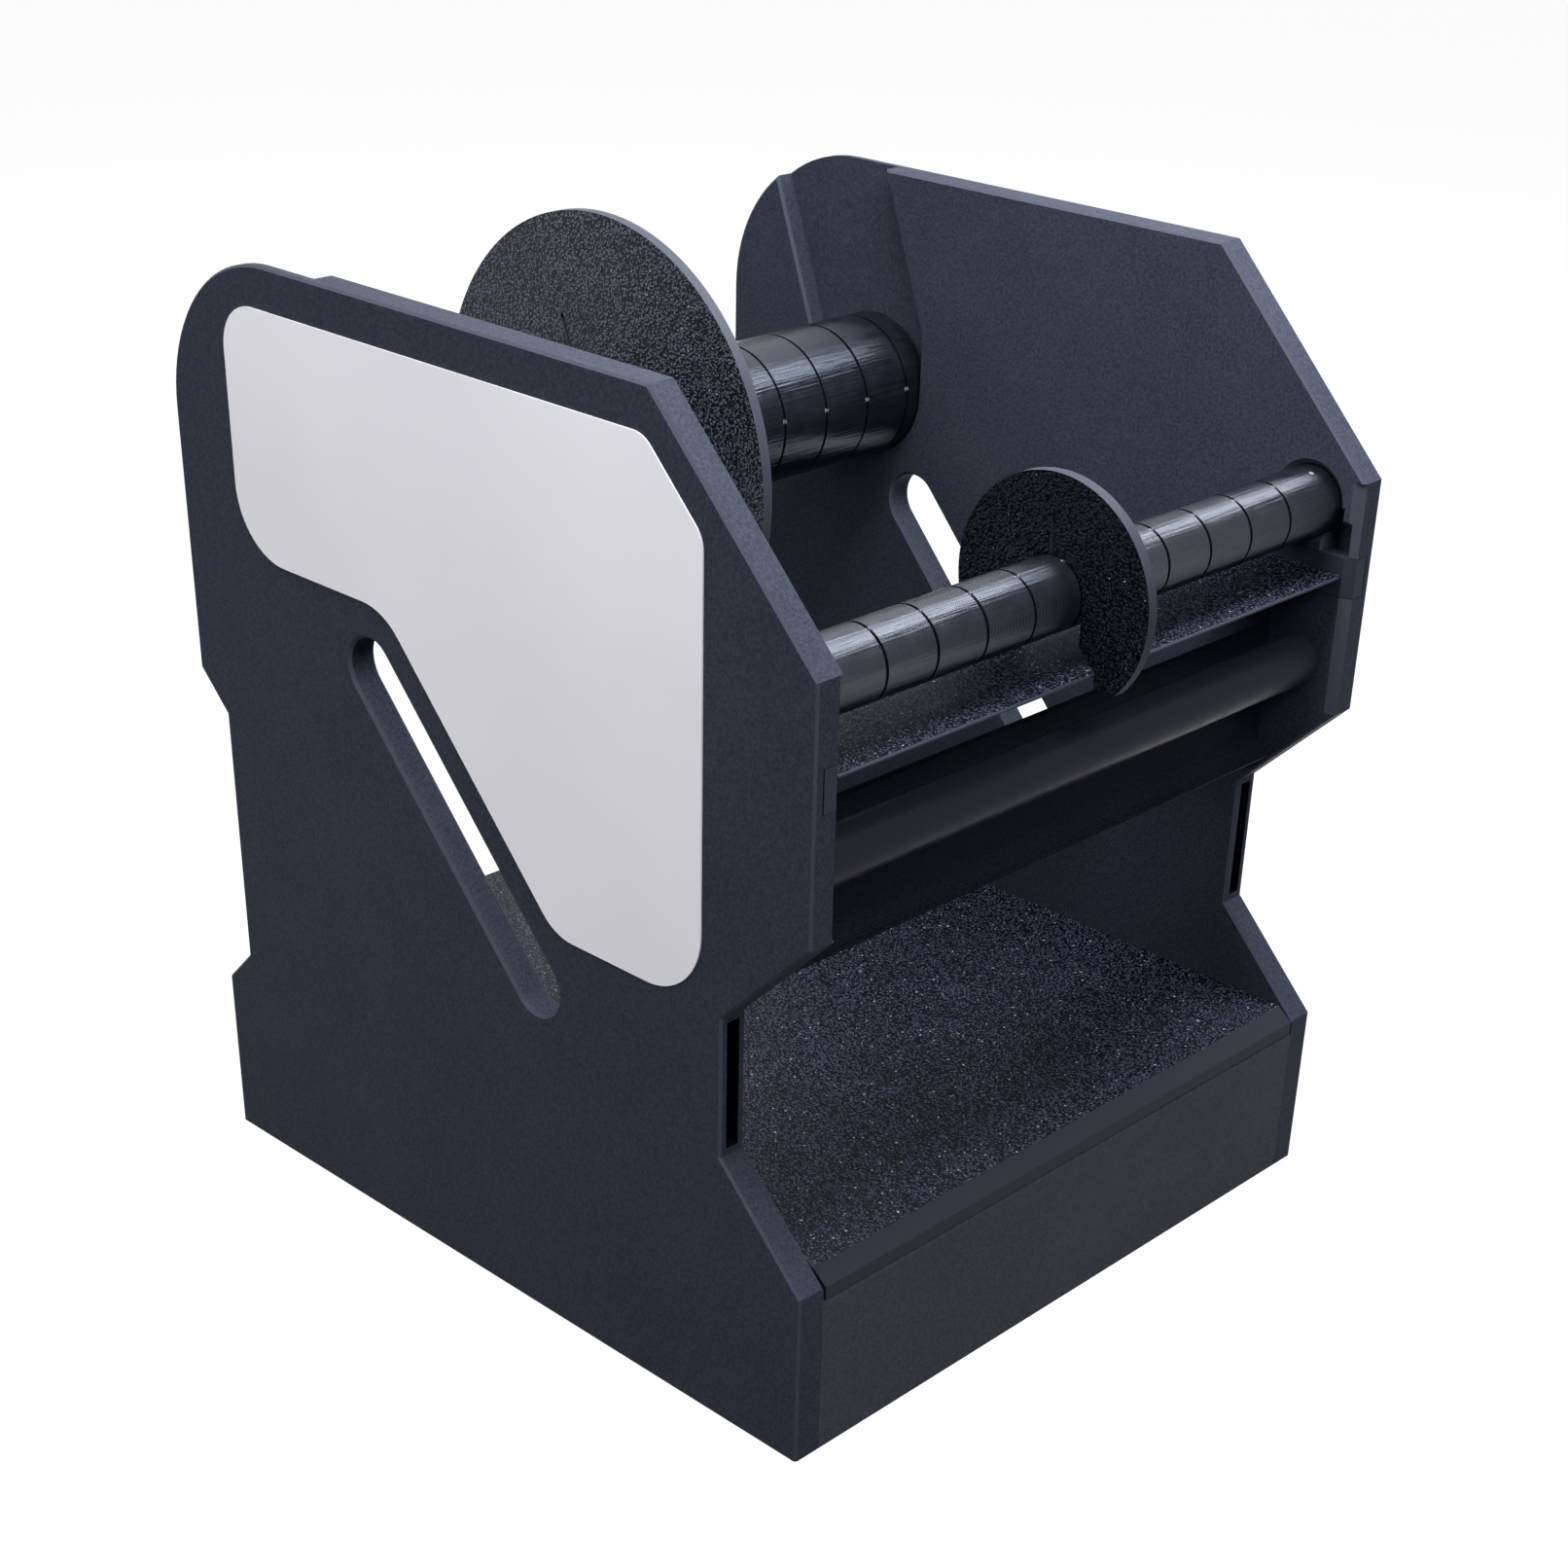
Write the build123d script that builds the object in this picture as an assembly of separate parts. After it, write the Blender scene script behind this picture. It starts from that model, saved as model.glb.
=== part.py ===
from build123d import *
import math
import os

os.makedirs("parts", exist_ok=True)

# Frame: X runs along the shafts, the front is at -Y, Z is up and the base rests on z = 0.
# The origin is the middle of the footprint.

# Overall body
body_width = 102.0
body_depth = 111.0
body_height = 124.0
panel_thickness = 4.0
edge_bevel = 0.3
cut_overrun = 1.0

# Side panel outline, seen along X; the waist tops are shares of the body height
base_step_height = 23.4
front_waist_depth = 13.4
front_waist_top_share = 0.4444
front_top_chamfer = 25.0
rear_waist_depth = 5.1
rear_waist_top_share = 0.5161
rear_round_radius = 20.6

# Diagonal slot through each panel, placed from the roll shaft; its run is a share of the body depth
slot_width = 8.0
slot_run_share = 0.263
slot_rise = 31.7
slot_shaft_gap_y = 9.5
slot_shaft_gap_z = 15.4
slot_bevel = 0.4

# Roll shaft, its grooves and the leaning channel that it drops into
shaft_radius = 9.7
shaft_rear_offset = 27.1
shaft_top_offset = 29.6
channel_depth = 2.8
channel_lean_deg = 20.5
channel_front_rise = 8.4
channel_rear_rise = 1.8
channel_bevel = 0.4
running_clearance = 0.08
end_clearance = 0.2
groove_pitch = 8.15
groove_width = 0.45
groove_depth = 0.45
shaft_groove_count = 12
roller_groove_count = 10
shaft_end_chamfer = 1.0

# Guide roller and the pocket in each panel that holds its end
roller_radius = 4.5
roller_front_offset = 7.9
roller_drop = 3.8
pocket_countersink = 0.7
roller_end_chamfer = 0.8
recess_front_wall = 1.2
recess_width = 3.9
recess_top_drop = 1.7
recess_bevel = 0.3

# Liner bar under the guide plate
bar_radius = 3.3
bar_front_offset = 6.2
bar_plate_drop = 12.3
bar_end_round = 0.8
bar_end_gap = 0.2
journal_radius = 1.8

# Guide plate with its sharp front edge
plate_front_setback = 1.4
plate_nose_rise = 0.2
plate_nose_edge = 0.2
plate_nose_run = 2.6
plate_drop = 11.9
plate_thickness = 1.5
plate_depth = 18.1
tab_height = 5.1
tab_top_rise = 2.1
tab_clearance = 0.1

# Apron wall behind the liner bar; its top slopes down to the rear
apron_front_offset = 11.3
apron_thickness = 2.5
apron_top_rise = 3.6
apron_top_fall = 1.6
apron_waist_rise = 4.9
apron_flare_height = 4.6
apron_flare_depth = 2.5
apron_edge = 0.4
apron_sag_share = 0.72

# Waist groove in the front edge of each panel
waist_groove_skin = 1.0
waist_groove_width = 2.0
waist_groove_depth = 12.0
waist_groove_margin = 0.8

# Lead-in chamfer on the inner front edge of each panel
lead_in_width = 0.7
lead_in_length = 1.6

# Base tray and the deck plate that closes it
base_wall = 3.0
base_floor = 2.4
deck_step_rise = 1.6
deck_thickness = 3.7
seam_bevel = 0.3
deck_lip_run = 2.2
deck_lip_drop = 1.7
deck_side_gap = 0.4
deck_tongue_drop = 3.0
deck_tongue_width = 2.0
deck_tongue_gap = 0.3

# Discs that guide the roll and the label strip
disc_thickness = 1.5
roll_disc_radius = 30.5
edge_guide_radius = 14.0
edge_guide_offset = 0.7
roll_slit_width = 0.7
roll_slit_length = 8.3
roll_slit_angle_deg = 68.0
guide_slit_width = 0.5
guide_slit_length = 4.7
guide_slit_angle_deg = 87.0
hook_plate_gap = 0.6
hook_tip_drop = 9.5

# Stickers on the outer faces; the corner rounds are shares of the sticker's lower edge
sticker_thickness = 0.2
sticker_top_margin = 5.1
sticker_rear_margin = 11.8
sticker_front_margin = 3.2
sticker_low_rise = 8.1
sticker_step_rise = 8.7
sticker_chamfer_margin = 4.0
sticker_slot_margin = 4.4
sticker_round_shares = (0.24, 0.16, 0.16, 0.36, 0.28, 0.36, 0.36)

# Derived places
half_width = body_width / 2
half_depth = body_depth / 2
inner_x = half_width - panel_thickness
front_y = -half_depth
rear_y = half_depth
front_waist_top = body_height * front_waist_top_share
rear_waist_top = body_height * rear_waist_top_share
front_waist_y = front_y + front_waist_depth
front_waist_low = base_step_height + front_waist_depth
front_step_top = front_waist_top + front_waist_depth
front_chamfer_low = body_height - front_top_chamfer
front_chamfer_y = front_y + front_top_chamfer
rear_waist_y = rear_y - rear_waist_depth
rear_waist_low = base_step_height + rear_waist_depth
rear_step_top = rear_waist_top + rear_waist_depth
shaft_y = rear_y - shaft_rear_offset
shaft_z = body_height - shaft_top_offset
slot_upper_y = shaft_y - slot_shaft_gap_y
slot_upper_z = shaft_z - slot_shaft_gap_z
slot_lower_y = slot_upper_y - body_depth * slot_run_share
slot_lower_z = slot_upper_z - slot_rise
roller_y = front_y + roller_front_offset
roller_z = front_chamfer_low - roller_drop
plate_front_y = front_y + plate_front_setback
plate_rear_y = plate_front_y + plate_depth
plate_top_z = front_chamfer_low - plate_drop
bar_y = front_y + bar_front_offset
bar_z = plate_top_z - bar_plate_drop
apron_face_y = front_y + apron_front_offset
apron_top_z = bar_z + apron_top_rise
apron_bottom_z = front_waist_top + apron_waist_rise
deck_top_z = base_step_height + deck_step_rise
hook_tip_z = roller_z - hook_tip_drop
sticker_low_z = slot_lower_z + sticker_low_rise
sticker_step_z = slot_upper_z + sticker_step_rise
pocket_depth = channel_depth
shaft_half = inner_x + channel_depth - end_clearance
roller_half = inner_x + pocket_depth - end_clearance
roll_disc_x = -groove_pitch / 2
edge_guide_x = roll_disc_x + edge_guide_offset
seam_z = deck_top_z - deck_thickness
tab_top_z = plate_top_z + tab_top_rise
tab_bottom_z = tab_top_z - tab_height


def prism(face, low_x, high_x):
    """A face drawn in (y, z) run along X from low_x to high_x."""
    return extrude(Plane.YZ.offset(low_x) * face, amount=high_x - low_x)


def polygon(points):
    return make_face(Polyline(*points, close=True))


def block(low, high):
    size = [top - bottom for bottom, top in zip(low, high)]
    middle = [(top + bottom) / 2 for bottom, top in zip(low, high)]
    return Pos(*middle) * Box(*size)


def rod(radius, low_x, high_x, y, z):
    """A round bar along X, centred on (y, z)."""
    return Pos((low_x + high_x) / 2, y, z) * Rot(Y=90) * Cylinder(radius, high_x - low_x)


def sunk(face, depth, bevel):
    """A recess of that depth in the panel's inner face, with a bevelled rim."""
    body = prism(face, inner_x - cut_overrun, inner_x + depth)
    rim = extrude(Plane.YZ.offset(inner_x) * offset(face, bevel, kind=Kind.INTERSECTION), amount=bevel, taper=45)
    return body + rim


def turned(profile, y, z):
    """A closed profile of (x, radius) points turned about the X axis at (y, z)."""
    return Pos(0, y, z) * revolve(make_face(Polyline(*profile, close=True)), Axis.X)


def grooved_rod(radius, half_length, end_chamfer, groove_count):
    """Profile of a bar with evenly spaced grooves, symmetrical about x = 0."""
    first = -groove_pitch * (groove_count - 1) / 2
    profile = [(-half_length, 0), (-half_length, radius - end_chamfer), (end_chamfer - half_length, radius)]
    for index in range(groove_count):
        middle = first + groove_pitch * index
        low, high = middle - groove_width / 2, middle + groove_width / 2
        profile += [(low, radius), (low, radius - groove_depth), (high, radius - groove_depth), (high, radius)]
    profile += [(half_length - end_chamfer, radius), (half_length, radius - end_chamfer), (half_length, 0)]
    return profile


# Side panels
def panel_outline():
    corner = (rear_y, body_height)
    face = polygon([
        (front_y, 0), (rear_y, 0), (rear_y, base_step_height),
        (rear_waist_y, rear_waist_low), (rear_waist_y, rear_waist_top),
        (rear_y, rear_step_top), corner, (front_chamfer_y, body_height),
        (front_y, front_chamfer_low), (front_y, front_step_top),
        (front_waist_y, front_waist_top), (front_waist_y, front_waist_low),
        (front_y, base_step_height),
    ])
    rounded = face.vertices().sort_by(lambda v: -v.X - v.Y)[0]
    return fillet(rounded, rear_round_radius)


def channel_outline():
    """The shaft's seat, upright at first, with walls that then lean back to the top edge."""
    seat = shaft_radius + running_clearance
    top = body_height + cut_overrun
    front = shaft_y - seat
    rear = shaft_y + seat
    front_bend = shaft_z + channel_front_rise
    rear_bend = shaft_z + channel_rear_rise
    run_share = math.tan(math.radians(channel_lean_deg))
    walls = polygon([
        (front, shaft_z), (front, front_bend), (front + run_share * (top - front_bend), top),
        (rear + run_share * (top - rear_bend), top), (rear, rear_bend), (rear, shaft_z),
    ])
    return walls + Pos(shaft_y, shaft_z) * Circle(seat)


def slot_outline():
    run = slot_upper_y - slot_lower_y
    rise = slot_upper_z - slot_lower_z
    middle = ((slot_upper_y + slot_lower_y) / 2, (slot_upper_z + slot_lower_z) / 2)
    slot = SlotCenterToCenter(math.hypot(run, rise), slot_width, rotation=math.degrees(math.atan2(rise, run)))
    return Pos(*middle) * slot


def bevelled_slab():
    slab = prism(panel_outline(), inner_x, half_width)
    outer = slab.faces().sort_by(Axis.X)[-1].edges().filter_by(lambda e: e.center().Z > edge_bevel)
    inner = slab.faces().sort_by(Axis.X)[0].edges().filter_by(lambda e: e.center().Z > base_step_height)
    return chamfer(outer + inner, edge_bevel)


def right_panel():
    panel = bevelled_slab()
    through = prism(slot_outline(), inner_x - cut_overrun, half_width + cut_overrun)
    panel -= through
    rims = panel.edges().filter_by(lambda e: slot_rim(e))
    panel = chamfer(rims, slot_bevel)
    panel -= sunk(channel_outline(), channel_depth, channel_bevel)
    panel -= roller_pocket()
    panel -= tab_slot()
    panel -= rod(journal_radius + running_clearance, inner_x - cut_overrun, inner_x + pocket_depth, bar_y, bar_z)
    panel -= waist_groove()
    return panel - lead_in()


def slot_rim(edge):
    """True for the edges where the diagonal slot leaves the panel's two faces."""
    centre = edge.center()
    flat = abs(abs(centre.X - inner_x - panel_thickness / 2) - panel_thickness / 2) < edge_bevel / 10
    within_y = slot_lower_y - slot_width < centre.Y < slot_upper_y + slot_width
    within_z = slot_lower_z - slot_width < centre.Z < slot_upper_z + slot_width
    return flat and within_y and within_z


def roller_pocket():
    """Round pocket for the roller's end, with an entry recess under a small tab."""
    radius = roller_radius + running_clearance
    mouth = radius + pocket_countersink
    round_part = turned([
        (inner_x - cut_overrun, 0), (inner_x - cut_overrun, mouth), (inner_x, mouth),
        (inner_x + pocket_countersink, radius), (inner_x + pocket_depth, radius), (inner_x + pocket_depth, 0),
    ], roller_y, roller_z)
    recess_front = front_y + recess_front_wall
    recess_rear = recess_front + recess_width
    recess_top = roller_z - recess_top_drop
    wall_y = roller_y - mouth
    recess = polygon([
        (recess_front, tab_top_z), (recess_rear, tab_top_z), (recess_rear, roller_z),
        (wall_y, roller_z), (wall_y, recess_top), (recess_front, recess_top),
    ])
    return round_part + sunk(recess, pocket_depth, recess_bevel)


def tab_slot():
    """Slot that the guide plate's end tab slides into from the front."""
    return block(
        (inner_x - cut_overrun, front_y - cut_overrun, tab_bottom_z - tab_clearance),
        (inner_x + pocket_depth, plate_rear_y + tab_clearance, tab_top_z + tab_clearance),
    )


def waist_groove():
    outer = half_width - waist_groove_skin
    return block(
        (outer - waist_groove_width, front_waist_y - cut_overrun, front_waist_low + waist_groove_margin),
        (outer, front_waist_y + waist_groove_depth, front_waist_top - waist_groove_margin),
    )


def lead_in():
    """Wedge cut along the inner front edge, over the height of the guide parts."""
    low, high = front_step_top, front_chamfer_low
    wedge = Plane.XY.offset(low) * polygon([
        (inner_x - cut_overrun, front_y - cut_overrun),
        (inner_x + lead_in_width, front_y - cut_overrun),
        (inner_x + lead_in_width, front_y),
        (inner_x, front_y + lead_in_length),
        (inner_x - cut_overrun, front_y + lead_in_length),
    ])
    return extrude(wedge, amount=high - low)


# Base tray and deck
def base_tray():
    outside = prism(polygon([
        (front_y, 0), (rear_y, 0), (rear_y, seam_z - seam_bevel), (rear_y - seam_bevel, seam_z),
        (front_y + seam_bevel, seam_z), (front_y, seam_z - seam_bevel),
    ]), -inner_x, inner_x)
    inside = block(
        (-inner_x + base_wall, front_y + base_wall, base_floor),
        (inner_x - base_wall, rear_y - base_wall, seam_z + cut_overrun),
    )
    return outside - inside


def deck():
    """Lid of the tray, with a bevelled lip front and rear and a locating rim below."""
    plate = prism(polygon([
        (front_y + seam_bevel, seam_z), (front_y, seam_z + seam_bevel),
        (front_y, deck_top_z - deck_lip_drop), (front_y + deck_lip_run, deck_top_z),
        (rear_y - deck_lip_run, deck_top_z), (rear_y, deck_top_z - deck_lip_drop),
        (rear_y, seam_z + seam_bevel), (rear_y - seam_bevel, seam_z),
    ]), deck_side_gap - inner_x, inner_x - deck_side_gap)
    inset = base_wall + deck_tongue_gap
    low_z = seam_z - deck_tongue_drop
    rim = block((inset - inner_x, front_y + inset, low_z), (inner_x - inset, rear_y - inset, seam_z))
    inner_inset = inset + deck_tongue_width
    rim -= block(
        (inner_inset - inner_x, front_y + inner_inset, low_z - cut_overrun),
        (inner_x - inner_inset, rear_y - inner_inset, seam_z),
    )
    return plate + rim


# Apron wall
def apron():
    face_foot = (apron_face_y, apron_bottom_z + apron_flare_height)
    tip = (apron_face_y - apron_flare_depth, apron_bottom_z + apron_edge)
    bow = (
        apron_face_y - apron_flare_depth * (1 - apron_sag_share),
        apron_bottom_z + apron_edge + (apron_flare_height - apron_edge) * (1 - apron_sag_share),
    )
    flare = ThreePointArc(tip, bow, face_foot)
    rest = Polyline(
        face_foot, (apron_face_y, apron_top_z - apron_edge), (apron_face_y + apron_edge, apron_top_z),
        (apron_face_y + apron_thickness, apron_top_z - apron_top_fall),
        (apron_face_y + apron_thickness, apron_bottom_z), (tip[0] + apron_edge, apron_bottom_z), tip,
    )
    return prism(make_face(flare + rest), -inner_x, inner_x)


# Guide plate
def guide_plate():
    """Plate with a sharp nose; its end tabs slide into the panels and stay flush at the front."""
    underside = plate_top_z - plate_thickness
    nose_top = plate_top_z - plate_nose_rise
    plate = prism(polygon([
        (plate_front_y, nose_top), (plate_front_y + plate_nose_rise, plate_top_z),
        (plate_rear_y, plate_top_z), (plate_rear_y, underside),
        (plate_front_y + plate_nose_run, underside), (plate_front_y, nose_top - plate_nose_edge),
    ]), -inner_x, inner_x)
    for side in (-1, 1):
        near, far = side * inner_x, side * (inner_x + pocket_depth - end_clearance)
        plate += block(
            (min(near, far), front_y, tab_bottom_z),
            (max(near, far), plate_rear_y, tab_top_z),
        )
    wedge = lead_in()
    return plate - wedge - mirror(wedge, about=Plane.YZ)


# Turning pieces
def roll_shaft():
    profile = grooved_rod(shaft_radius, shaft_half, shaft_end_chamfer, shaft_groove_count)
    return turned(profile, shaft_y, shaft_z)


def guide_roller():
    profile = grooved_rod(roller_radius, roller_half, roller_end_chamfer, roller_groove_count)
    return turned(profile, roller_y, roller_z)


def liner_bar():
    """Smooth bar with rounded shoulders and a journal at each end."""
    shoulder = inner_x - bar_end_gap
    tip = inner_x + pocket_depth - end_clearance
    slope_share = 1 - math.sqrt(0.5)
    half = [
        (0, bar_radius), (shoulder - bar_end_round, bar_radius),
        (shoulder - bar_end_round * slope_share, bar_radius - bar_end_round * slope_share),
        (shoulder, bar_radius - bar_end_round), (shoulder, journal_radius), (tip, journal_radius), (tip, 0),
    ]
    other = [(-x, radius) for x, radius in reversed(half[1:])]
    return turned(other + half, bar_y, bar_z)


# Discs
def disc_blank(radius, bore, x, y, z):
    low = x - disc_thickness / 2
    blank = rod(radius, low, low + disc_thickness, y, z)
    return blank - rod(bore, low - cut_overrun, low + disc_thickness + cut_overrun, y, z)


def radial_slit(length, width, bore, angle_deg, x, y, z):
    """A narrow cut from the bore outwards, so that the disc can spring over its shaft."""
    reach = bore + length
    cut = Rectangle(reach, width, align=(Align.MIN, Align.CENTER))
    turned_cut = Pos(y, z) * Rot(Z=angle_deg) * cut
    return prism(turned_cut, x - disc_thickness, x + disc_thickness)


def roll_disc():
    bore = shaft_radius + running_clearance
    centre = (roll_disc_x, shaft_y, shaft_z)
    disc = disc_blank(roll_disc_radius, bore, *centre)
    return disc - radial_slit(roll_slit_length, roll_slit_width, bore, roll_slit_angle_deg, *centre)


def edge_guide():
    """Small disc on the roller, open below and hooked over the guide plate's front edge."""
    bore = roller_radius + running_clearance
    centre = (edge_guide_x, roller_y, roller_z)
    disc = disc_blank(edge_guide_radius, bore, *centre)
    disc -= radial_slit(guide_slit_length, guide_slit_width, bore, guide_slit_angle_deg, *centre)
    clear_top = plate_top_z + hook_plate_gap
    mouth_y = roller_y - bore
    hook_y = plate_front_y - hook_plate_gap
    hook_z = plate_top_z - plate_nose_rise + hook_plate_gap
    near = roller_y - edge_guide_radius - cut_overrun
    far = roller_y + edge_guide_radius + cut_overrun
    low_z = roller_z - edge_guide_radius - cut_overrun
    opening = polygon([
        (mouth_y, roller_z), (mouth_y, hook_z + mouth_y - hook_y), (hook_y, hook_z),
        (hook_y, hook_tip_z), (near, hook_tip_z), (near, low_z),
        (far, low_z), (far, clear_top), (roller_y + bore, clear_top), (roller_y + bore, roller_z),
    ])
    return disc - prism(opening, edge_guide_x - disc_thickness, edge_guide_x + disc_thickness)


# Stickers
def sticker_outline():
    """Pale sheet that follows the panel's outline and the upper side of the diagonal slot."""
    top = body_height - sticker_top_margin
    rear = rear_y - sticker_rear_margin
    front = front_waist_y + sticker_front_margin
    slope = (slot_upper_z - slot_lower_z) / (slot_upper_y - slot_lower_y)
    offset = (slot_width / 2 + sticker_slot_margin) * math.hypot(1, slope)

    def along_slot(z):
        return slot_lower_y + (z - slot_lower_z - offset) / slope

    chamfer_line = front_chamfer_low - front_y - sticker_chamfer_margin * math.sqrt(2)
    corners = [
        (rear, top), (top - chamfer_line, top), (front, front + chamfer_line), (front, sticker_low_z),
        (along_slot(sticker_low_z), sticker_low_z), (along_slot(sticker_step_z), sticker_step_z),
        (rear, sticker_step_z),
    ]
    low_edge = along_slot(sticker_low_z) - front
    face = polygon(corners)
    for corner, share in zip(corners, sticker_round_shares):
        place = Vector(*corner)
        nearest = face.vertices().sort_by(lambda v: (Vector(v.X, v.Y) - place).length)[0]
        face = fillet(nearest, share * low_edge)
    return face


def sticker():
    return prism(sticker_outline(), half_width, half_width + sticker_thickness)


right_side = right_panel()
right_sheet = sticker()
pieces = {
    "side_panel_right": right_side,
    "side_panel_left": mirror(right_side, about=Plane.YZ),
    "base_tray": base_tray(),
    "deck_plate": deck(),
    "apron_wall": apron(),
    "guide_plate": guide_plate(),
    "roll_shaft": roll_shaft(),
    "guide_roller": guide_roller(),
    "liner_bar": liner_bar(),
    "roll_disc": roll_disc(),
    "edge_guide": edge_guide(),
    "side_sticker_right": right_sheet,
    "side_sticker_left": mirror(right_sheet, about=Plane.YZ),
}
for name, shape in pieces.items():
    export_step(shape, f"parts/{name}.step")
    print(name, round(shape.volume), "mm3")
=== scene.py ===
import bpy
import math
from mathutils import Matrix, Vector

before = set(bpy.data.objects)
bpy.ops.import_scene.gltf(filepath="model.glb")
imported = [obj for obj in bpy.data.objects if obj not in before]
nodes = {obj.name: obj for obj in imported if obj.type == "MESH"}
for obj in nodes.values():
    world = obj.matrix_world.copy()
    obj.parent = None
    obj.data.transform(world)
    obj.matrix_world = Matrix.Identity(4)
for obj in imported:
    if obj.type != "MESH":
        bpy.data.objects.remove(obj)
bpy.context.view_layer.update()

# the camera stands where the photograph was taken from
cameraSet = {
    "place": (-0.23468, -0.22738, 0.19788),
    "right": (0.6967, -0.7170, 0.0232),
    "up": (0.3512, 0.3691, 0.8605),
    "back": (-0.6255, -0.5914, 0.5089),
    "focalPixels": 2724.2,
    "imagePixels": 1612,
    "centrePixel": (816.3, 1140.2),
    "sensorWidth": 36,
    "clip": (0.01, 20),
}


def makeCamera():
    data = bpy.data.cameras.new("camera")
    camera = bpy.data.objects.new("camera", data)
    bpy.context.scene.collection.objects.link(camera)
    turn = Matrix((cameraSet["right"], cameraSet["up"], cameraSet["back"])).transposed()
    turn = turn.to_quaternion().to_matrix().to_4x4()  # its three sides become exactly square
    camera.matrix_world = Matrix.Translation(cameraSet["place"]) @ turn
    size = cameraSet["imagePixels"]
    data.sensor_width = cameraSet["sensorWidth"]
    data.lens = cameraSet["focalPixels"] * cameraSet["sensorWidth"] / size
    data.shift_x = (size / 2 - cameraSet["centrePixel"][0]) / size
    data.shift_y = (cameraSet["centrePixel"][1] - size / 2) / size
    data.clip_start, data.clip_end = cameraSet["clip"]
    bpy.context.scene.camera = camera


makeCamera()
print("camera placed")


# small helpers for materials
class Shader:
    def __init__(self, name):
        self.material = bpy.data.materials.new(name)
        self.material.use_nodes = True
        self.tree = self.material.node_tree
        self.main = self.tree.nodes["Principled BSDF"]
        coords = self.add("ShaderNodeTexCoord")
        self.spot = coords.outputs["Object"]
        self.facing = coords.outputs["Normal"]

    def add(self, kind, **settings):
        node = self.tree.nodes.new(kind)
        for key, value in settings.items():
            setattr(node, key, value)
        return node

    def join(self, source, target):
        self.tree.links.new(source, target)

    def fill(self, socket, value):
        if isinstance(value, bpy.types.NodeSocket):
            self.join(value, socket)
        else:
            socket.default_value = value

    def maths(self, operation, first, second=0.0):
        node = self.add("ShaderNodeMath", operation=operation)
        self.fill(node.inputs[0], first)
        self.fill(node.inputs[1], second)
        return node.outputs[0]

    def plus(self, first, second):
        return self.maths("ADD", first, second)

    def minus(self, first, second):
        return self.maths("SUBTRACT", first, second)

    def times(self, first, second):
        return self.maths("MULTIPLY", first, second)

    def size(self, value):
        return self.maths("ABSOLUTE", value)

    def blend(self, first, second, share):
        # share is how much of the first one counts
        return self.plus(self.times(first, share), self.times(second, 1 - share))

    def within(self, value, low, high):
        return self.times(self.maths("GREATER_THAN", value, low),
                          self.maths("LESS_THAN", value, high))

    def ripple(self, source, pitch):
        return self.maths("SINE", self.times(source, 2 * math.pi / pitch))

    def axis(self, spot, letter):
        node = self.add("ShaderNodeSeparateXYZ")
        self.join(spot, node.inputs["Vector"])
        return node.outputs[letter]

    def move(self, place=(0, 0, 0), scale=(1, 1, 1)):
        node = self.add("ShaderNodeMapping", vector_type="POINT")
        self.join(self.spot, node.inputs["Vector"])
        node.inputs["Location"].default_value = place
        node.inputs["Scale"].default_value = scale
        return node.outputs["Vector"]

    def noise(self, scale, detail=2.0, rough=0.5, spot=None, output="Fac"):
        node = self.add("ShaderNodeTexNoise")
        self.join(spot or self.spot, node.inputs["Vector"])
        node.inputs["Scale"].default_value = scale
        node.inputs["Detail"].default_value = detail
        node.inputs["Roughness"].default_value = rough
        return node.outputs[output]

    def ramp(self, source, low, high, lowValue=0.0, highValue=1.0, smooth=False):
        kind = "SMOOTHSTEP" if smooth else "LINEAR"
        node = self.add("ShaderNodeMapRange", interpolation_type=kind)
        self.join(source, node.inputs["Value"])
        node.inputs["From Min"].default_value = low
        node.inputs["From Max"].default_value = high
        node.inputs["To Min"].default_value = lowValue
        node.inputs["To Max"].default_value = highValue
        return node.outputs["Result"]

    def colours(self, source, places, shades):
        node = self.add("ShaderNodeValToRGB")
        self.join(source, node.inputs["Fac"])
        stops = node.color_ramp.elements
        for index, (place, shade) in enumerate(zip(places, shades)):
            stop = stops[index] if index < 2 else stops.new(place)
            stop.position = place
            stop.color = (*shade, 1)
        return node.outputs["Color"]

    def mix(self, amount, first, second):
        node = self.add("ShaderNodeMix", data_type="RGBA")
        self.join(amount, node.inputs[0])
        for socket, colour in ((node.inputs[6], first), (node.inputs[7], second)):
            self.fill(socket, (*colour, 1) if isinstance(colour, tuple) else colour)
        return node.outputs[2]

    def bump(self, height, depth, strength, under=None):
        node = self.add("ShaderNodeBump")
        self.join(height, node.inputs["Height"])
        node.inputs["Distance"].default_value = depth
        node.inputs["Strength"].default_value = strength
        if under is not None:
            self.join(under, node.inputs["Normal"])
        return node.outputs["Normal"]

    def finish(self, values, colour, rough, normal):
        self.fill(self.main.inputs["Base Color"], colour)
        self.fill(self.main.inputs["Roughness"], rough)
        self.main.inputs["Specular IOR Level"].default_value = values["shine"]
        self.main.inputs["Specular Tint"].default_value = (*values["tint"], 1)
        self.main.inputs["IOR"].default_value = plasticIor
        self.join(normal, self.main.inputs["Normal"])
        return self.material


# shared by the finishes below; in them a noise is given as scale, detail and roughness,
# and a bump as depth and strength
plasticIor = 1.46
coolTint = (0.80, 0.88, 1.0)
noiseSpan = (0.3, 0.7)  # nearly all of a noise lies in here

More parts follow.
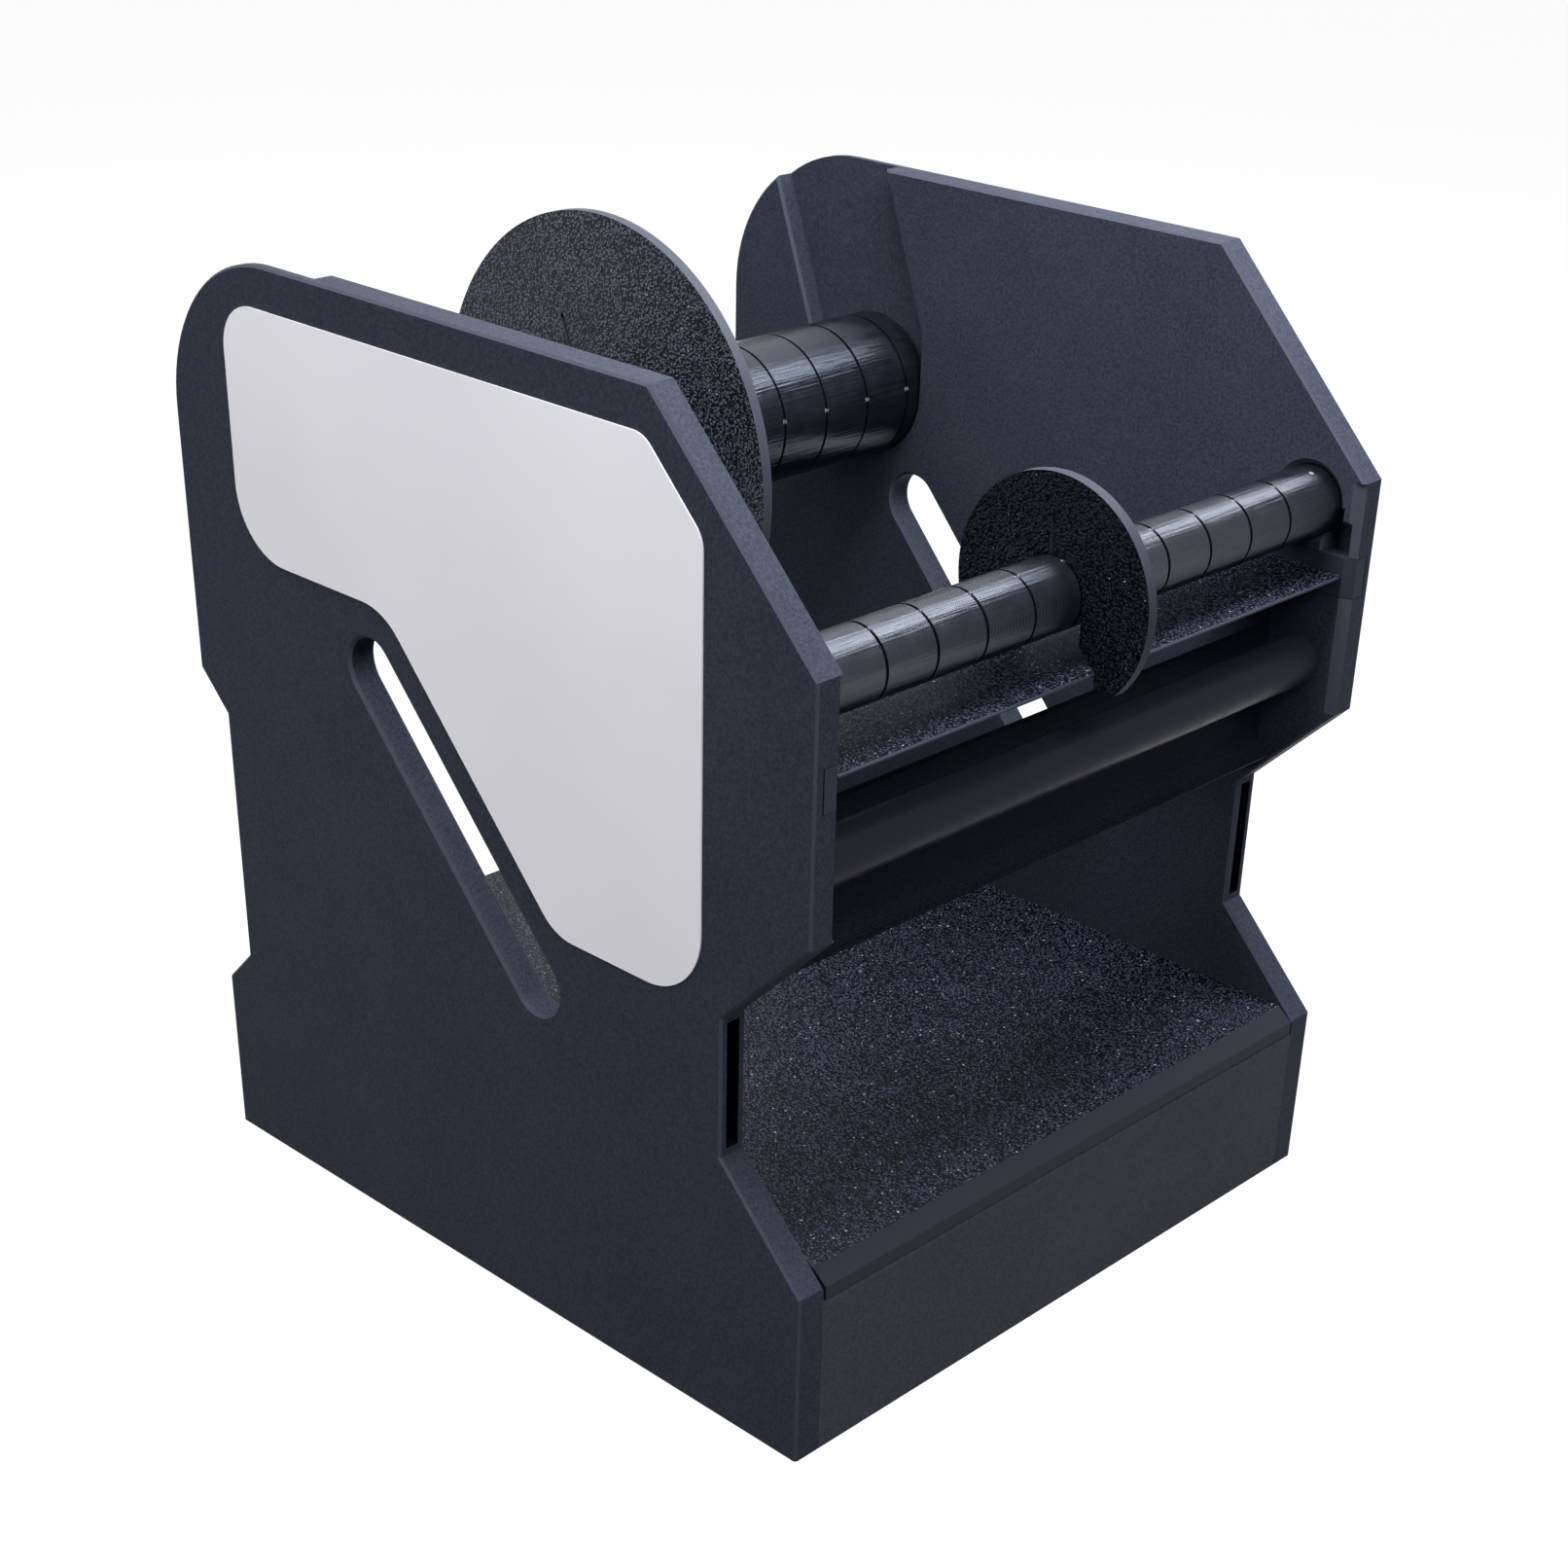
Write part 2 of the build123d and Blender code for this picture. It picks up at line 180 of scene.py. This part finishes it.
# bluish-black printed plastic of the panels, the tray and the apron
bodyPlastic = {
    "dark": (0.0190, 0.0225, 0.0345),
    "light": (0.0370, 0.0420, 0.0600),
    "colourSpan": (0.38, 0.62),
    # painted highlight on the small bevels
    "edge": (0.0450, 0.0510, 0.0690),
    "edgeLean": 0.7,  # how far a small bevel faces sideways
    "edgeSpan": 0.22,
    "cloudNoise": (60, 3, 0.6),
    "grainNoise": (2600, 4, 0.7),
    "grainShare": 0.85,
    "grainBump": (0.00012, 0.6),
    "layerPitch": 0.00025,
    "layerBump": (0.000030, 0.7),
    "roughRange": (0.38, 0.52),
    "shine": 0.02,
    "tint": coolTint,
}
# a lighter copy for the tray: painted light on its front wall
litFrontPlastic = {
    **bodyPlastic,
    "dark": (0.0320, 0.0333, 0.0470),
    "light": (0.0590, 0.0600, 0.0820),
}
# a darker copy for the apron, which lies in the shade of the guide plate and the bar: painted shade
shadedApronPlastic = {
    **bodyPlastic,
    "dark": (0.0045, 0.0054, 0.0090),
    "light": (0.0130, 0.0155, 0.0240),
}
# the side panels lie flat on the print bed, so they have no layer lines; they get painted shade in
# the waist grooves and a faint ring bump over the pocket
panelMarks = {
    "grooveLow": (0.0479, -0.0420, 0.0375),
    "grooveHigh": (0.0501, -0.0300, 0.0544),
    "groovePaintedShade": (0.0030, 0.0035, 0.0055),
    "pocketAxis": (-0.0476, 0.0951),
    "ringRadius": 0.0053,
    "ringWidth": 0.0004,
    "ringBump": (0.000032, 0.6),
}


def paintGrooveShade(paint, colour):
    # painted shade: the waist grooves are darkened inside, on both sides of x = 0
    marks = panelMarks
    inside = paint.within(paint.size(paint.axis(paint.spot, "X")),
                          marks["grooveLow"][0], marks["grooveHigh"][0])
    for letter, low, high in zip("YZ", marks["grooveLow"][1:], marks["grooveHigh"][1:]):
        inside = paint.times(inside, paint.within(paint.axis(paint.spot, letter), low, high))
    return paint.mix(inside, colour, marks["groovePaintedShade"])


def markPocket(paint, normal):
    # the roller's pocket shows through the outer skin as a faint ring
    marks = panelMarks
    axisY, axisZ = marks["pocketAxis"]
    away = paint.add("ShaderNodeVectorMath", operation="LENGTH")
    paint.join(paint.move(place=(0, -axisY, -axisZ), scale=(0, 1, 1)), away.inputs[0])
    gap = paint.size(paint.minus(away.outputs["Value"], marks["ringRadius"]))
    ring = paint.ramp(gap, 0.0, marks["ringWidth"], 1.0, 0.0)
    return paint.bump(ring, *marks["ringBump"], under=normal)


def makeBodyPlastic(name, values, panel=False):
    paint = Shader(name)
    grain = paint.noise(*values["grainNoise"])
    cloud = paint.blend(grain, paint.noise(*values["cloudNoise"]), values["grainShare"])
    skin = paint.colours(cloud, values["colourSpan"], (values["dark"], values["light"]))
    # painted highlight: the small bevels get a lighter colour, as if they catch the light
    sideways = paint.size(paint.axis(paint.facing, "X"))
    lean = paint.size(paint.minus(sideways, values["edgeLean"]))
    colour = paint.mix(paint.maths("LESS_THAN", lean, values["edgeSpan"]), skin, values["edge"])
    normal = paint.bump(grain, *values["grainBump"])
    if panel:
        colour = paintGrooveShade(paint, colour)
        normal = markPocket(paint, normal)
    else:
        layers = paint.ripple(paint.axis(paint.spot, "Z"), values["layerPitch"])
        normal = paint.bump(layers, *values["layerBump"], under=normal)
    rough = paint.ramp(cloud, *noiseSpan, *values["roughRange"])
    return paint.finish(values, colour, rough, normal)


# pebbled face that the print bed leaves on the deck, the guide plate and the discs
pebbledFace = {
    "side": "Z",  # the pebbled face looks along this axis
    "sideLean": 0.9,
    "halfWidth": None,  # no pebbles farther out than this
    "dark": (0.0010, 0.0014, 0.0035),
    "light": (0.0480, 0.0560, 0.0980),
    # painted glint colour for a few pebble tips
    "glint": (0.3000, 0.3100, 0.3300),
    "colourSpan": (0.28, 0.66, 1.0),
    "edge": (0.0098, 0.0112, 0.0172),  # the plain faces
    "pebbleScale": 2700,
    "pebbleSpan": (0.22, 0.70),  # from a pebble's top to its foot
    "pebbleBump": (0.00022, 0.8),
    "wanderScale": 1890,
    "wander": 0.0005,
    "patchNoise": (90, 3, 0.6),
    "patchRange": (0.80, 1.0),
    "moundShare": 0.7,
    "glintSpan": (0.975, 0.995),  # few pebbles glint
    "tipSpan": (0.6, 1.0),
    "roughSpan": (0.3, 1.0),
    "roughRange": (0.40, 0.15),
    "roughEdge": 0.60,
    "shine": 0.14,
    "tint": coolTint,
}
plateFace = {
    **pebbledFace,
    "halfWidth": 0.04705,
    "edge": (0.0190, 0.0225, 0.0345),
}
# a lighter copy for the big disc, whose face and rims are lit from the left: painted light
litBigDiscFace = {
    **pebbledFace,
    "side": "X",
    "light": (0.0780, 0.0900, 0.1400),
    "edge": (0.0300, 0.0330, 0.0460),
    "shine": 0.26,
}
# a copy with much darker pebbles for the small disc, which sits in the left panel's shade: painted
# shade
shadedSmallDiscFace = {
    **litBigDiscFace,
    "light": (0.0085, 0.0100, 0.0175),
    "shine": 0.08,
}


def makePebbledFace(name, values):
    paint = Shader(name)
    mask = paint.maths("GREATER_THAN", paint.size(paint.axis(paint.facing, values["side"])),
                       values["sideLean"])
    if values["halfWidth"]:
        out = paint.size(paint.axis(paint.spot, "X"))
        mask = paint.times(mask, paint.maths("LESS_THAN", out, values["halfWidth"]))
    # the pebbles are cells, bent by a noise
    bent = paint.add("ShaderNodeVectorMath", operation="MULTIPLY_ADD")
    paint.join(paint.noise(values["wanderScale"], output="Color"), bent.inputs[0])
    bent.inputs[1].default_value = [values["wander"]] * 3
    paint.join(paint.spot, bent.inputs[2])
    pebbles = paint.add("ShaderNodeTexVoronoi", feature="F1")
    paint.join(bent.outputs["Vector"], pebbles.inputs["Vector"])
    pebbles.inputs["Scale"].default_value = values["pebbleScale"]
    mound = paint.ramp(pebbles.outputs["Distance"], *values["pebbleSpan"], 1.0, 0.0, smooth=True)
    normal = paint.bump(paint.times(mound, mask), *values["pebbleBump"])
    # painted highlight and shade: a pebble is lighter towards its top and dark at its foot, and a
    # few have a painted glint on the tip
    patches = paint.ramp(paint.noise(*values["patchNoise"]), *noiseSpan, *values["patchRange"])
    paintedPebbleLight = paint.times(paint.times(mound, patches), values["moundShare"])
    glint = paint.ramp(paint.axis(pebbles.outputs["Color"], "X"), *values["glintSpan"])
    tip = paint.ramp(mound, *values["tipSpan"])
    paintedPebbleLight = paint.plus(paintedPebbleLight, paint.times(glint, tip))
    pebbled = paint.colours(paintedPebbleLight, values["colourSpan"],
                            (values["dark"], values["light"], values["glint"]))
    colour = paint.mix(mask, values["edge"], pebbled)
    pebbleRough = paint.ramp(mound, *values["roughSpan"], *values["roughRange"])
    plainRough = paint.times(paint.minus(1.0, mask), values["roughEdge"])
    rough = paint.plus(paint.times(pebbleRough, mask), plainRough)
    return paint.finish(values, colour, rough, normal)


# satin plastic of the shaft and roller, printed on end: fine rings, lengthwise streaks,
# and in every groove a small dot where the layer ends
rollerPlastic = {
    "dark": (0.0020, 0.0026, 0.0042),
    "light": (0.0060, 0.0072, 0.0105),
    "colourSpan": (0.35, 0.65),
    "ringPitch": 0.00024,
    "ringBump": (0.000013, 1.0),
    "streakNoise": (2600, 2, 0.6),
    "streakScale": (0.03, 1, 1),
    "streakShare": 0.6,
    "streakBump": (0.00010, 0.8),
    "blotchNoise": (350, 3, 0.6),
    "groovePitch": 0.00815,
    "dot": (0.1700, 0.1800, 0.2100),
    "dotSpan": (0.00028, 0.00042),
    "dotBump": (0.0002, 1.0),
    "roughRange": (0.14, 0.27),
    "shine": 0.62,
    "tint": (0.66, 0.78, 1.0),
}
# the dots' turn is in degrees from the top towards the front
shaftPlastic = {
    **rollerPlastic,
    "centre": (0.0284, 0.0944),
    "radius": 0.0097,
    "dotTurn": 82,
}
guidePlastic = {
    **rollerPlastic,
    "centre": (-0.0476, 0.0952),
    "radius": 0.0045,
    "dotTurn": 18,
}


def makeRollerPlastic(name, values):
    paint = Shader(name)
    centreY, centreZ = values["centre"]
    centred = paint.move(place=(0, -centreY, -centreZ))
    along = paint.axis(centred, "X")
    # each dot is round about the middle of its groove
    forward = paint.times(paint.axis(centred, "Y"), -1.0)
    angle = paint.maths("ARCTAN2", forward, paint.axis(centred, "Z"))
    around = paint.times(paint.minus(angle, math.radians(values["dotTurn"])), values["radius"])
    toGroove = paint.maths("FRACT", paint.maths("DIVIDE", along, values["groovePitch"]))
    toGroove = paint.times(paint.minus(toGroove, 0.5), values["groovePitch"])
    squares = paint.plus(paint.maths("POWER", paint.size(toGroove), 2.0),
                         paint.maths("POWER", paint.size(around), 2.0))
    dot = paint.ramp(paint.maths("SQRT", squares), *values["dotSpan"], 1.0, 0.0)
    streaks = paint.noise(*values["streakNoise"], spot=paint.move(scale=values["streakScale"]))
    blotch = paint.noise(*values["blotchNoise"])
    skin = paint.colours(paint.blend(streaks, blotch, values["streakShare"]),
                         values["colourSpan"], (values["dark"], values["light"]))
    colour = paint.mix(dot, skin, values["dot"])
    normal = paint.bump(paint.ripple(along, values["ringPitch"]), *values["ringBump"])
    normal = paint.bump(streaks, *values["streakBump"], under=normal)
    normal = paint.bump(dot, *values["dotBump"], under=normal)
    rough = paint.ramp(blotch, *noiseSpan, *values["roughRange"])
    return paint.finish(values, colour, rough, normal)


# smooth bar that the backing strip runs over, with faint rings
barPlastic = {
    "colour": (0.0150, 0.0158, 0.0245),
    "ringPitch": 0.0004,
    "ringBump": (0.000006, 0.6),
    "wanderNoise": (500, 3, 0.6),
    "wanderScale": (1, 0.05, 0.05),
    "wanderBump": (0.00008, 0.4),
    "roughRange": (0.25, 0.40),
    "shine": 0.06,
    "tint": coolTint,
}


def makeBarPlastic(name, values):
    paint = Shader(name)
    rings = paint.ripple(paint.axis(paint.spot, "X"), values["ringPitch"])
    wander = paint.noise(*values["wanderNoise"], spot=paint.move(scale=values["wanderScale"]))
    normal = paint.bump(rings, *values["ringBump"])
    normal = paint.bump(wander, *values["wanderBump"], under=normal)
    rough = paint.ramp(wander, *noiseSpan, *values["roughRange"])
    return paint.finish(values, (*values["colour"], 1), rough, normal)


# pale bare film of the stickers
stickerFilm = {
    "shade": (0.70, 0.70, 0.74),
    "light": (0.76, 0.76, 0.80),
    "cloudNoise": (25, 2, 0.5),
    "grainNoise": (1500, 2, 0.5),
    "grainBump": (0.000008, 0.5),
    "rough": 0.42,
    "shine": 0.4,
    "tint": (1, 1, 1),
}


def makeStickerFilm(name, values):
    paint = Shader(name)
    cloud = paint.noise(*values["cloudNoise"])
    colour = paint.colours(cloud, noiseSpan, (values["shade"], values["light"]))
    normal = paint.bump(paint.noise(*values["grainNoise"]), *values["grainBump"])
    return paint.finish(values, colour, values["rough"], normal)


def dress(material, *names):
    for name in names:
        slots = nodes[name].data.materials
        slots.clear()
        slots.append(material)


dress(makeBodyPlastic("printedPanel", bodyPlastic, panel=True),
      "side_panel_left", "side_panel_right")
dress(makeBodyPlastic("printedWallLit", litFrontPlastic), "base_tray")
dress(makeBodyPlastic("printedApronShaded", shadedApronPlastic), "apron_wall")
dress(makePebbledFace("pebbledDeck", pebbledFace), "deck_plate")
dress(makePebbledFace("pebbledPlate", plateFace), "guide_plate")
dress(makePebbledFace("pebbledBigDiscLit", litBigDiscFace), "roll_disc")
dress(makePebbledFace("pebbledSmallDiscShaded", shadedSmallDiscFace), "edge_guide")
dress(makeRollerPlastic("satinShaft", shaftPlastic), "roll_shaft")
dress(makeRollerPlastic("satinRoller", guidePlastic), "guide_roller")
dress(makeBarPlastic("glossyBar", barPlastic), "liner_bar")
dress(makeStickerFilm("paleFilm", stickerFilm), "side_sticker_left", "side_sticker_right")
print("finishes on")


# floor and world look white, but light the object only a little
studio = {
    "white": (1, 1, 1, 1),
    "worldFill": 0.08,
    "worldSeen": 1,
    "floorSize": 6,
    "floorColour": (0.10, 0.10, 0.10, 1),
    "floorRough": 0.9,
    "floorShine": 0.1,
    "floorGlow": 0.92,
}
lamps = {
    "ceiling": {
        "place": (0.06, 0.10, 0.46), "aim": (0.06, 0.10, 0), "size": (0.72, 0.60), "power": 3.8,
    },
    "strip": {
        "place": (0.12, -0.052, 0.25), "aim": (0.12, -0.052, 0), "size": (0.40, 0.06), "power": 1.2,
    },
    "left": {
        "place": (-0.40, 0.02, 0.36), "aim": (0, 0, 0.06), "size": (0.26, 0.26), "power": 1.2,
    },
    "front": {
        "place": (-0.10, -0.36, 0.42), "aim": (0, 0, 0.06), "size": (0.20, 0.20), "power": 1.5,
    },
}


def seenDirectly(tree):
    # 1 for camera, glossy and transmission rays, or else 0
    rays = tree.nodes.new("ShaderNodeLightPath")
    seen = rays.outputs["Is Camera Ray"]
    for name in ("Is Glossy Ray", "Is Transmission Ray"):
        either = tree.nodes.new("ShaderNodeMath")
        either.operation = "MAXIMUM"
        tree.links.new(seen, either.inputs[0])
        tree.links.new(rays.outputs[name], either.inputs[1])
        seen = either.outputs[0]
    return seen


def makeWorld():
    world = bpy.data.worlds.new("studio")
    bpy.context.scene.world = world
    world.use_nodes = True
    tree = world.node_tree
    background = tree.nodes["Background"]
    background.inputs["Color"].default_value = studio["white"]
    level = tree.nodes.new("ShaderNodeMapRange")
    tree.links.new(seenDirectly(tree), level.inputs["Value"])
    level.inputs["To Min"].default_value = studio["worldFill"]
    level.inputs["To Max"].default_value = studio["worldSeen"]
    tree.links.new(level.outputs["Result"], background.inputs["Strength"])


def makeFloor():
    bpy.ops.mesh.primitive_plane_add(size=studio["floorSize"], location=(0, 0, 0))
    floor = bpy.context.object
    floor.name = "floor"
    material = bpy.data.materials.new("floorPaper")
    material.use_nodes = True
    tree = material.node_tree
    paper = tree.nodes["Principled BSDF"]
    paper.inputs["Base Color"].default_value = studio["floorColour"]
    paper.inputs["Roughness"].default_value = studio["floorRough"]
    paper.inputs["Specular IOR Level"].default_value = studio["floorShine"]
    paper.inputs["Emission Color"].default_value = studio["white"]
    glow = tree.nodes.new("ShaderNodeMath")
    glow.operation = "MULTIPLY"
    tree.links.new(seenDirectly(tree), glow.inputs[0])
    glow.inputs[1].default_value = studio["floorGlow"]
    tree.links.new(glow.outputs[0], paper.inputs["Emission Strength"])
    floor.data.materials.append(material)


def makeLamps():
    for name, values in lamps.items():
        data = bpy.data.lights.new(name, "AREA")
        data.shape = "RECTANGLE"
        data.size, data.size_y = values["size"]
        data.energy = values["power"]
        lamp = bpy.data.objects.new(name, data)
        bpy.context.scene.collection.objects.link(lamp)
        place = Vector(values["place"])
        lamp.location = place
        lamp.rotation_mode = "QUATERNION"
        lamp.rotation_quaternion = (Vector(values["aim"]) - place).to_track_quat("-Z", "Y")
        lamp.visible_camera = False


bpy.ops.object.select_all(action="DESELECT")
makeWorld()
makeFloor()
makeLamps()
bpy.context.scene.view_settings.view_transform = "Standard"
print("studio lit")
